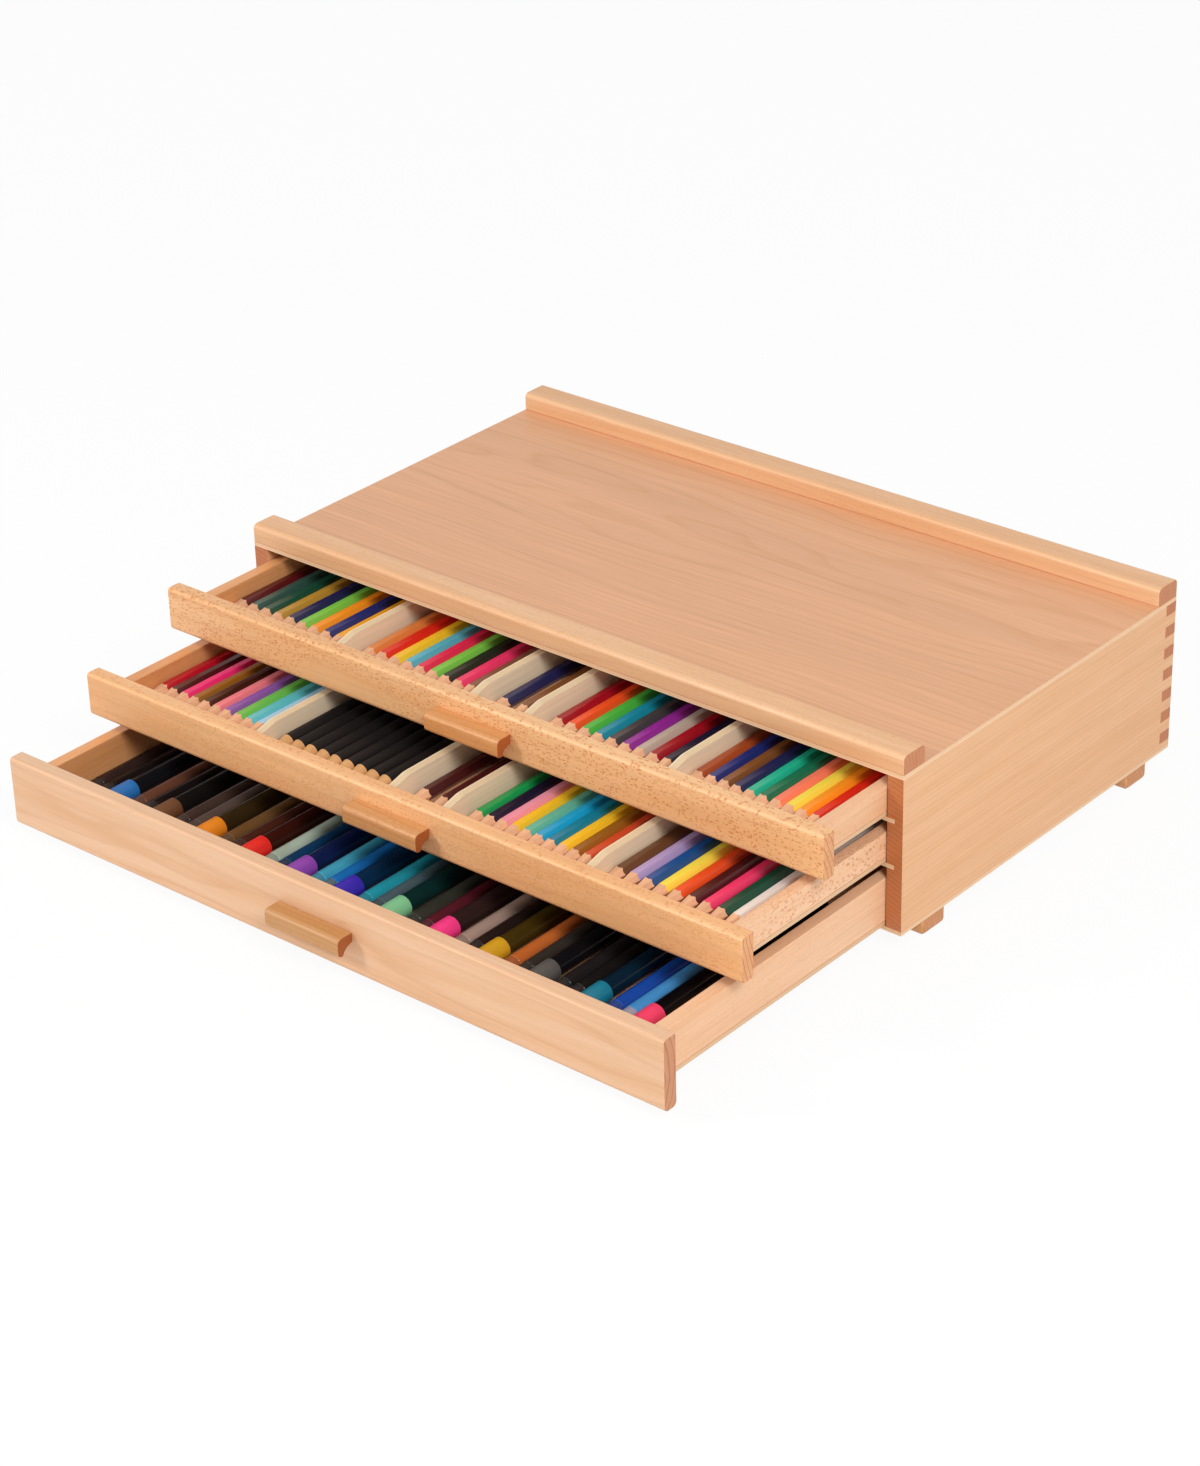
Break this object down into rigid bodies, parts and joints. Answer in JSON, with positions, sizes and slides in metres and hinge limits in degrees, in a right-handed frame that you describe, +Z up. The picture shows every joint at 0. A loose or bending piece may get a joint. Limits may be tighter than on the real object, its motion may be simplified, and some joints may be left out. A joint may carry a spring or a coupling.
{
  "type": "pencil drawer box",
  "caption": "Low beech box on four feet with wide, shallow pull-out drawers of pencils and felt pens and a flat top between two raised strips.",
  "frame": {"origin": "on the surface the feet stand on, below the middle of the box as stored, with its drawers part open", "axes": "+Z up, -Y the way the drawers open, +X to the right as seen by someone facing the drawers"},
  "size_m": [0.402, 0.4034, 0.1016],
  "materials": {
    "beech_sides": "satin",
    "beech_strips": "satin",
    "beech_fronts": "satin",
    "beech_walls": "satin",
    "beech_pulls": "satin",
    "beech_ply": "satin",
    "divider_ply": "matt",
    "coloured_pencils": "gloss",
    "charcoal_pencils": "satin",
    "pen_caps": "gloss",
    "pen_barrels": "gloss",
    "slim_pens": "satin"
  },
  "bodies": {
    "case": {"case_side_left": "beech_sides", "case_side_right": "beech_sides", "case_back": "beech_sides", "bottom_panel": "beech_ply", "top_panel": "beech_ply", "lower_shelf": "beech_ply", "upper_shelf": "beech_ply", "front_strip": "beech_strips", "rear_strip": "beech_strips", "foot_front_left": "beech_strips", "foot_front_right": "beech_strips", "foot_rear_left": "beech_strips", "foot_rear_right": "beech_strips"},
    "top_drawer": {"top_drawer_bottom": "beech_ply", "top_drawer_side_left": "beech_walls", "top_drawer_side_right": "beech_walls", "top_drawer_back": "beech_walls", "top_drawer_front": "beech_fronts", "top_drawer_pull": "beech_pulls", "top_drawer_divider_1": "divider_ply", "top_drawer_divider_2": "divider_ply", "top_drawer_divider_3": "divider_ply", "top_drawer_divider_4": "divider_ply", "top_drawer_pencils_left": "coloured_pencils", "top_drawer_pencils_centre_left": "coloured_pencils", "top_drawer_pencils_centre": "coloured_pencils", "top_drawer_pencils_centre_right": "coloured_pencils", "top_drawer_pencils_right": "coloured_pencils"},
    "middle_drawer": {"middle_drawer_bottom": "beech_ply", "middle_drawer_side_left": "beech_walls", "middle_drawer_side_right": "beech_walls", "middle_drawer_back": "beech_walls", "middle_drawer_front": "beech_fronts", "middle_drawer_pull": "beech_pulls", "middle_drawer_divider_1": "divider_ply", "middle_drawer_divider_2": "divider_ply", "middle_drawer_divider_3": "divider_ply", "middle_drawer_divider_4": "divider_ply", "middle_drawer_pencils_left": "coloured_pencils", "middle_drawer_pencils_centre_left": "charcoal_pencils", "middle_drawer_pencils_centre": "coloured_pencils", "middle_drawer_pencils_centre_right": "coloured_pencils", "middle_drawer_pencils_right": "coloured_pencils"},
    "bottom_drawer": {"bottom_drawer_bottom": "beech_ply", "bottom_drawer_side_left": "beech_walls", "bottom_drawer_side_right": "beech_walls", "bottom_drawer_back": "beech_walls", "bottom_drawer_front": "beech_fronts", "bottom_drawer_pull": "beech_pulls", "felt_pen_caps": "pen_caps", "felt_pen_barrels": "pen_barrels", "slim_pens_first": "slim_pens", "slim_pens_second": "slim_pens"}
  },
  "joints": [
    {"name": "top_drawer_slide", "type": "slide", "parent": "case", "child": "top_drawer", "axis": [0, -1, 0], "range_m": [-0.052, 0.118]},
    {"name": "middle_drawer_slide", "type": "slide", "parent": "case", "child": "middle_drawer", "axis": [0, -1, 0], "range_m": [-0.109, 0.061]},
    {"name": "bottom_drawer_slide", "type": "slide", "parent": "case", "child": "bottom_drawer", "axis": [0, -1, 0], "range_m": [-0.162, 0.008]}
  ]
}
